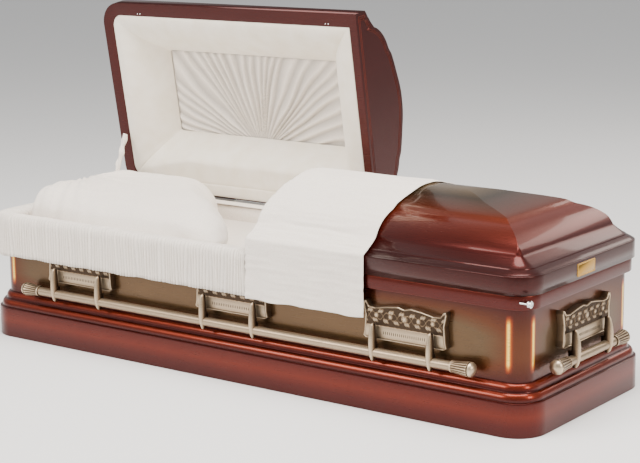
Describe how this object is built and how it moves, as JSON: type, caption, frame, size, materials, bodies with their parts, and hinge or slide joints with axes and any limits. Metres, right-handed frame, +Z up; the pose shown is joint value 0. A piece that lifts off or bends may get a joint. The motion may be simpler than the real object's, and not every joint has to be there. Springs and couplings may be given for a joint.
{
  "type": "funeral casket",
  "caption": "Half-couch metal casket with a domed, hinged two-part lid, padded cloth interior, swing-bar handles and a stepped base moulding.",
  "frame": {"origin": "centre of the underside, on the floor it rests on", "axes": "+X towards the foot end along the length, -Y towards the front long side, +Z up"},
  "size_m": [2.148, 0.8823, 1.0918],
  "materials": {
    "cherry_enamel": "dark cherry enamel, high gloss",
    "bronze_enamel": "brushed bronze enamel shaded to cherry at its edges, gloss",
    "plain_steel": "plain zinc-coated steel",
    "antique_bronze": "antique bronze plate with dark recesses, satin",
    "gilt_brass": "polished brass",
    "chromed_brass": "bright chrome",
    "crepe": "off-white crepe",
    "velvet": "off-white velvet"
  },
  "bodies": {
    "casket": {"base_moulding": "cherry_enamel", "bottom_panel": "plain_steel", "body_shell": "bronze_enamel", "top_moulding": "cherry_enamel", "bed_frame": "plain_steel", "mattress": "crepe", "side_lining": "crepe", "pillow": "crepe", "overlay": "crepe", "lid_stay": "crepe", "memory_tube_cap": "chromed_brass", "head_hinge_case_leaf": "plain_steel", "foot_hinge_case_leaf": "plain_steel", "front_handle_plate_1": "antique_bronze", "front_handle_plate_2": "antique_bronze", "front_handle_plate_3": "antique_bronze", "back_handle_plate_1": "antique_bronze", "back_handle_plate_2": "antique_bronze", "back_handle_plate_3": "antique_bronze", "foot_end_handle_plate": "antique_bronze", "head_end_handle_plate": "antique_bronze"},
    "head_lid": {"head_lid": "cherry_enamel", "head_lid_rolls": "velvet", "head_lid_panel": "velvet", "head_hinge_lid_leaf": "plain_steel"},
    "foot_lid": {"foot_lid": "cherry_enamel", "foot_lid_rolls": "velvet", "foot_lid_panel": "velvet", "foot_hinge_lid_leaf": "plain_steel", "throw": "crepe", "plaque": "gilt_brass"},
    "front_handle": {"front_handle_arm_1": "antique_bronze", "front_handle_arm_2": "antique_bronze", "front_handle_arm_3": "antique_bronze", "front_handle_arm_4": "antique_bronze", "front_handle_arm_5": "antique_bronze", "front_handle_arm_6": "antique_bronze", "front_handle_bar": "antique_bronze", "front_handle_tip_1": "antique_bronze", "front_handle_tip_2": "antique_bronze"},
    "back_handle": {"back_handle_arm_1": "antique_bronze", "back_handle_arm_2": "antique_bronze", "back_handle_arm_3": "antique_bronze", "back_handle_arm_4": "antique_bronze", "back_handle_arm_5": "antique_bronze", "back_handle_arm_6": "antique_bronze", "back_handle_bar": "antique_bronze", "back_handle_tip_1": "antique_bronze", "back_handle_tip_2": "antique_bronze"},
    "foot_end_handle": {"foot_end_handle_arm_1": "antique_bronze", "foot_end_handle_arm_2": "antique_bronze", "foot_end_handle_bar": "antique_bronze", "foot_end_handle_tip_1": "antique_bronze", "foot_end_handle_tip_2": "antique_bronze"},
    "head_end_handle": {"head_end_handle_arm_1": "antique_bronze", "head_end_handle_arm_2": "antique_bronze", "head_end_handle_bar": "antique_bronze", "head_end_handle_tip_1": "antique_bronze", "head_end_handle_tip_2": "antique_bronze"}
  },
  "joints": [
    {"name": "head_lid_hinge", "type": "hinge", "parent": "casket", "child": "head_lid", "pos_m": [-0.4, 0.3488, 0.399], "axis": [-1, 0, 0], "range_deg": [-80.5, 0], "deforming": ["overlay", "lid_stay", "pillow"]},
    {"name": "foot_lid_hinge", "type": "hinge", "parent": "casket", "child": "foot_lid", "pos_m": [0.56, 0.3488, 0.399], "axis": [-1, 0, 0], "range_deg": [0, 80.5]},
    {"name": "front_handle_swing", "type": "hinge", "parent": "casket", "child": "front_handle", "pos_m": [0, -0.3535, 0.255], "axis": [-1, 0, 0], "range_deg": [0, 80]},
    {"name": "back_handle_swing", "type": "hinge", "parent": "casket", "child": "back_handle", "pos_m": [0, 0.3535, 0.255], "axis": [1, 0, 0], "range_deg": [0, 80]},
    {"name": "foot_end_handle_swing", "type": "hinge", "parent": "casket", "child": "foot_end_handle", "pos_m": [1.052, 0, 0.255], "axis": [0, -1, 0], "range_deg": [0, 80]},
    {"name": "head_end_handle_swing", "type": "hinge", "parent": "casket", "child": "head_end_handle", "pos_m": [-1.052, 0, 0.255], "axis": [0, 1, 0], "range_deg": [0, 80]}
  ]
}
